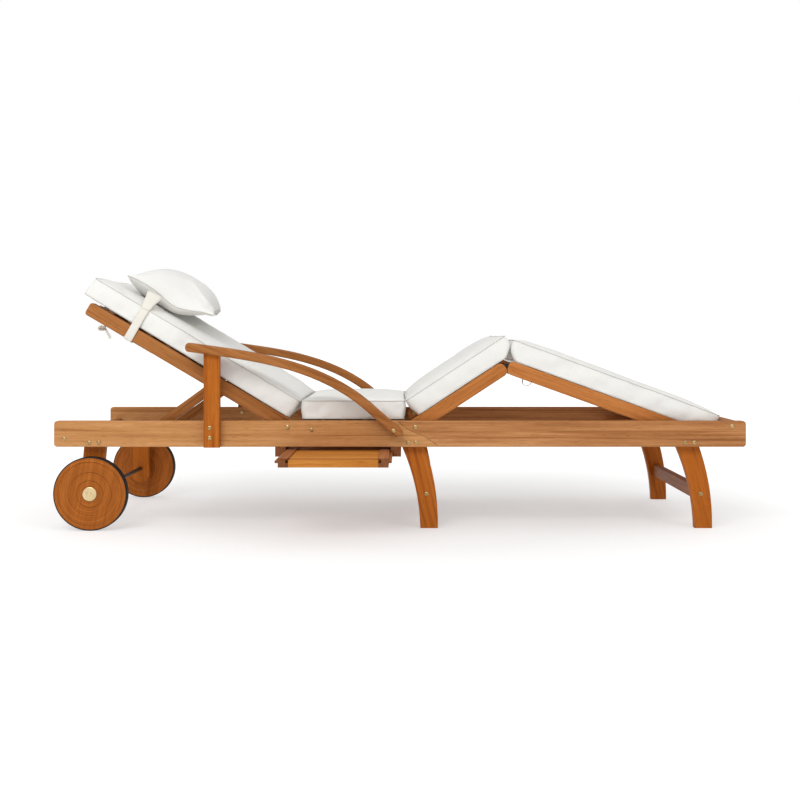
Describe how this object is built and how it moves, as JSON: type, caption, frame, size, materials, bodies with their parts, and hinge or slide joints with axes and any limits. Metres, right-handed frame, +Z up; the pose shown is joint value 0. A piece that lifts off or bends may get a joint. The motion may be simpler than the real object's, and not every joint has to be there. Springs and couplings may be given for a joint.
{
  "type": "sun lounger",
  "caption": "Reclining slatted wood sun lounger on two wheels and curved legs, with a propped backrest, folding knee section, pull-out tray, arms, pale cushions and a head pillow.",
  "frame": {"origin": "on the floor, midway along the side rails and midway between them", "axes": "+X towards the foot end, +Y towards the user's left, +Z up"},
  "size_m": [2, 0.9188, 0.7659],
  "materials": {
    "rail_wood": "oiled",
    "frame_wood": "oiled",
    "slat_wood": "oiled",
    "cushion_fabric": "woven",
    "tape_fabric": "woven tape",
    "brass": "zinc plated, yellow",
    "steel": "plain",
    "tyre_rubber": "matt"
  },
  "bodies": {
    "frame": {"side_rail_head_left": "rail_wood", "side_rail_head_right": "rail_wood", "side_rail_foot_left": "rail_wood", "side_rail_foot_right": "rail_wood", "head_cross_bar": "rail_wood", "foot_cross_rail": "rail_wood", "seat_bearers": "frame_wood", "seat_slats": "slat_wood", "wheel_leg_left": "frame_wood", "wheel_leg_right": "frame_wood", "mid_leg_left": "frame_wood", "mid_leg_right": "frame_wood", "foot_leg_left": "frame_wood", "foot_leg_right": "frame_wood", "mid_stretcher": "frame_wood", "foot_stretcher": "frame_wood", "arm_post_left": "frame_wood", "arm_post_right": "frame_wood", "arm_left": "frame_wood", "arm_right": "frame_wood", "prop_racks": "frame_wood", "foot_racks": "frame_wood", "tray_runners": "frame_wood", "axle": "steel", "axle_caps": "brass", "wheel_spacers": "steel", "leg_bolts": "brass", "frame_bolts": "brass", "pivot_bolts": "brass", "seat_cushion": "cushion_fabric"},
    "backrest": {"backrest_stile_left": "frame_wood", "backrest_stile_right": "frame_wood", "backrest_slats": "slat_wood", "backrest_head_rail": "frame_wood", "prop_pins": "brass", "backrest_cushion": "cushion_fabric", "head_pillow": "cushion_fabric", "pillow_strap": "tape_fabric", "backrest_ties": "tape_fabric"},
    "prop": {"prop_strut_left": "frame_wood", "prop_strut_right": "frame_wood", "prop_foot_bar": "slat_wood"},
    "thigh_section": {"thigh_stile_left": "frame_wood", "thigh_stile_right": "frame_wood", "thigh_slats": "slat_wood", "thigh_hinge_leaves": "steel", "thigh_cushion": "cushion_fabric"},
    "foot_section": {"foot_stile_left": "frame_wood", "foot_stile_right": "frame_wood", "foot_slats": "slat_wood", "foot_end_bar": "slat_wood", "foot_hinge_leaves": "steel", "foot_cushion": "cushion_fabric", "foot_ties": "tape_fabric"},
    "tray": {"tray_side_rails": "frame_wood", "tray_slats": "slat_wood"},
    "wheel_left": {"wheel_left": "frame_wood", "tyre_left": "tyre_rubber"},
    "wheel_right": {"wheel_right": "frame_wood", "tyre_right": "tyre_rubber"}
  },
  "joints": [
    {"name": "backrest_recline", "type": "hinge", "parent": "frame", "child": "backrest", "pos_m": [-0.325, 0, 0.2965], "axis": [0, 1, 0], "range_deg": [-30.5, 29.5]},
    {"name": "prop_swing", "type": "hinge", "parent": "backrest", "child": "prop", "pos_m": [-0.54574, 0, 0.41434], "axis": [0, -1, 0], "range_deg": [-61.71, 59.69]},
    {"name": "knee_lift", "type": "hinge", "parent": "frame", "child": "thigh_section", "pos_m": [0.0445, 0, 0.2965], "axis": [0, -1, 0], "range_deg": [-33.2, 0]},
    {"name": "apex_fold", "type": "hinge", "parent": "thigh_section", "child": "foot_section", "pos_m": [0.31143, 0, 0.47117], "axis": [0, 1, 0], "range_deg": [-53.1, 0]},
    {"name": "tray_slide", "type": "slide", "parent": "frame", "child": "tray", "axis": [0, -1, 0], "range_m": [-0.22, 0.1]},
    {"name": "wheel_spin_left", "type": "hinge", "parent": "frame", "child": "wheel_left", "pos_m": [-0.8905, 0.334, 0.106], "axis": [0, 1, 0], "continuous": true},
    {"name": "wheel_spin_right", "type": "hinge", "parent": "frame", "child": "wheel_right", "pos_m": [-0.8905, -0.334, 0.106], "axis": [0, 1, 0], "continuous": true}
  ],
  "couplings": [
    {"joint": "prop_swing", "follows": "backrest_recline", "ratio": 2.02},
    {"joint": "apex_fold", "follows": "knee_lift", "ratio": 1.5964}
  ]
}
